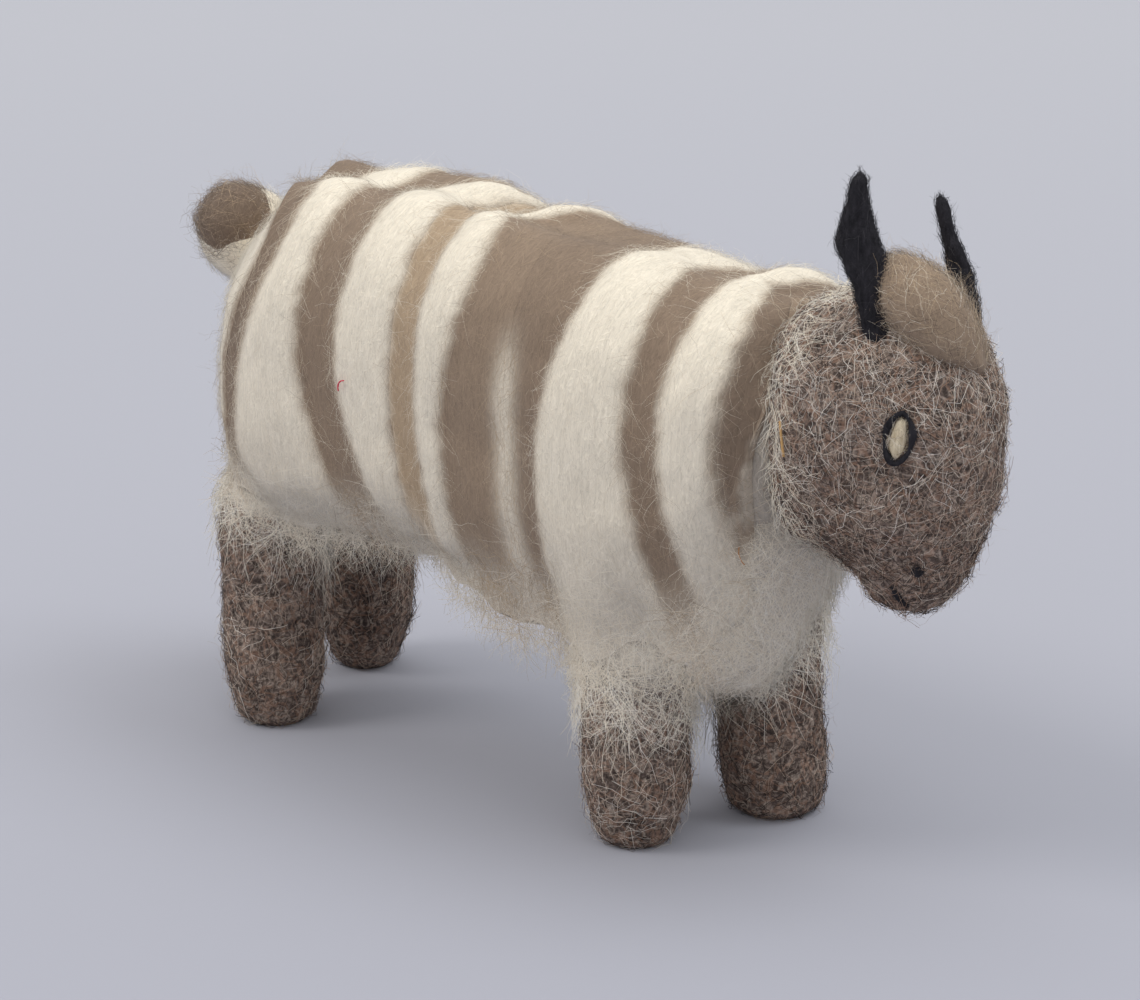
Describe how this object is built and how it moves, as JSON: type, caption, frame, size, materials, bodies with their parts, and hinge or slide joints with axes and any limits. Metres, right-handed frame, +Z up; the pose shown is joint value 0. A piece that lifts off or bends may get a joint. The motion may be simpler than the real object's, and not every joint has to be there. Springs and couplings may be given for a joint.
{
  "type": "felted goat figure",
  "caption": "Standing goat figure needle-felted from wool: striped fleece strips over a packed core, coarse felt head and legs, black horns and a stub tail.",
  "frame": {"origin": "on the ground under the middle of the goat's length and width", "axes": "+X ahead to the goat's nose, +Y to its left, +Z up from the ground"},
  "size_m": [0.1912, 0.0598, 0.1248],
  "materials": {
    "core_wool": "packed undyed wool, matte",
    "cream_wool": "combed cream wool, soft and matte",
    "taupe_wool": "combed taupe wool, soft and matte",
    "coarse_felt": "coarse grey-brown felt with curly hairs, matte",
    "black_felt": "black felt, matte",
    "eye_wool": "tightly felted straw-coloured wool, matte"
  },
  "bodies": {
    "root": {"core_body": "core_wool", "head": "coarse_felt", "fore_leg_right": "coarse_felt", "fore_leg_left": "coarse_felt", "hind_leg_right": "coarse_felt", "hind_leg_left": "coarse_felt", "rump_fleece": "cream_wool", "taupe_strip_1": "taupe_wool", "cream_strip_1": "cream_wool", "taupe_strip_2": "taupe_wool", "cream_strip_2": "cream_wool", "taupe_strip_3": "taupe_wool", "cream_strip_3": "cream_wool", "taupe_strip_4": "taupe_wool", "taupe_strip_5": "taupe_wool", "cream_strip_4": "cream_wool", "taupe_strip_6": "taupe_wool", "cream_strip_5": "cream_wool", "taupe_strip_7": "taupe_wool", "collar_fleece": "cream_wool", "chest_fleece": "cream_wool", "tail_stub": "cream_wool", "tail_tuft": "taupe_wool", "forelock": "taupe_wool", "horn_right": "black_felt", "horn_left": "black_felt", "eye_rim_right": "black_felt", "eye_rim_left": "black_felt", "eye_pellet_right": "eye_wool", "eye_pellet_left": "eye_wool", "nostril_right": "black_felt", "nostril_left": "black_felt", "mouth_stitch_right": "black_felt", "mouth_stitch_left": "black_felt"}
  },
  "joints": []
}
